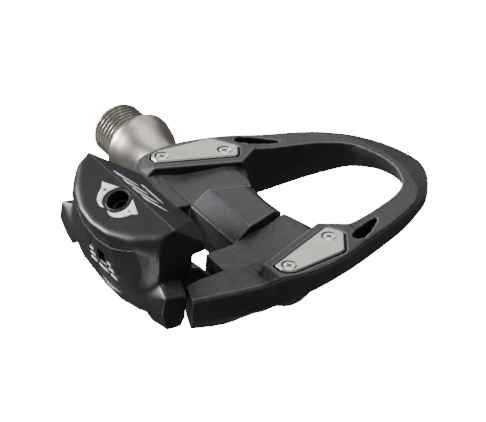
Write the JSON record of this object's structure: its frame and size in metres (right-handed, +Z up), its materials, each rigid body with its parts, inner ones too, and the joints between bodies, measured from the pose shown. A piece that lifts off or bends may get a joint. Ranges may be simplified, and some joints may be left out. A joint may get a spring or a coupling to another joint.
{
  "type": "clipless pedal",
  "caption": "Single-sided road clipless pedal: open-loop composite body, steel plates, sprung rear binding and threaded steel spindle.",
  "frame": {"origin": "spindle axis at the shoulder that seats on the crank arm", "axes": "+X towards the nose of the pedal, +Y along the spindle towards the crank, +Z up out of the cleat side"},
  "size_m": [0.0968, 0.0967, 0.0363],
  "materials": {
    "body_composite": "matte fibre-filled composite with a fine mottled grain",
    "binding_composite": "satin composite, smoother than the body",
    "spindle_steel": "satin turned steel",
    "plate_steel": "satin stainless with a bright bevel",
    "screw_steel": "bright stainless",
    "bearing_steel": "polished bearing steel",
    "plain_steel": "zinc-plated steel",
    "dark_steel": "black oxide steel",
    "black_nylon": "matte black nylon",
    "seal_rubber": "matte black rubber"
  },
  "bodies": {
    "spindle": {"spindle": "spindle_steel", "bearing_cone": "bearing_steel", "cone_lock_nut": "plain_steel"},
    "body": {"pedal_body": "body_composite", "axle_sleeve": "black_nylon", "dust_seal": "seal_rubber", "bearing_tube": "plain_steel", "inner_bearing_cup": "bearing_steel", "outer_bearing_cup": "bearing_steel", "cleat_plate_inner": "plate_steel", "cleat_plate_outer": "plate_steel", "plate_screw_rear_inner": "screw_steel", "plate_screw_front_inner": "screw_steel", "plate_screw_rear_outer": "screw_steel", "plate_screw_front_outer": "screw_steel", "hinge_pin": "dark_steel", "tension_spring_inner": "plain_steel", "tension_spring_outer": "plain_steel"},
    "binding": {"binding_lever": "binding_composite"},
    "bolt": {"tension_bolt": "dark_steel"},
    "nut": {"tension_nut": "plain_steel", "tension_indicator": "screw_steel"},
    "inner_balls": {"inner_ball_ring": "bearing_steel"},
    "outer_balls": {"outer_ball_ring": "bearing_steel"}
  },
  "joints": [
    {"name": "pedal_spin", "type": "hinge", "parent": "spindle", "child": "body", "pos_m": [0, -0.033, 0], "axis": [0, 1, 0], "continuous": true},
    {"name": "inner_balls_roll", "type": "hinge", "parent": "spindle", "child": "inner_balls", "pos_m": [0, -0.033, 0], "axis": [0, 1, 0], "continuous": true},
    {"name": "outer_balls_roll", "type": "hinge", "parent": "spindle", "child": "outer_balls", "pos_m": [0, -0.062, 0], "axis": [0, 1, 0], "continuous": true},
    {"name": "binding_tilt", "type": "hinge", "parent": "body", "child": "binding", "pos_m": [-0.0376, -0.053, 0.008], "axis": [0, -1, 0], "range_deg": [0, 15], "stiffness_Nm_per_rad": 3, "deforming": ["tension_spring_inner", "tension_spring_outer"]},
    {"name": "bolt_turn", "type": "hinge", "parent": "binding", "child": "bolt", "pos_m": [-0.039, -0.053, 0.02535], "axis": [0.4472, 0, -0.8944], "range_deg": [0, 720]},
    {"name": "nut_travel", "type": "slide", "parent": "binding", "child": "nut", "axis": [0.4472, 0, -0.8944], "range_m": [0, 0.0016]}
  ],
  "couplings": [
    {"joint": "inner_balls_roll", "follows": "pedal_spin", "ratio": 0.61},
    {"joint": "outer_balls_roll", "follows": "pedal_spin", "ratio": 0.61},
    {"joint": "bolt_turn", "follows": "nut_travel", "rad_per_m": 7854}
  ]
}
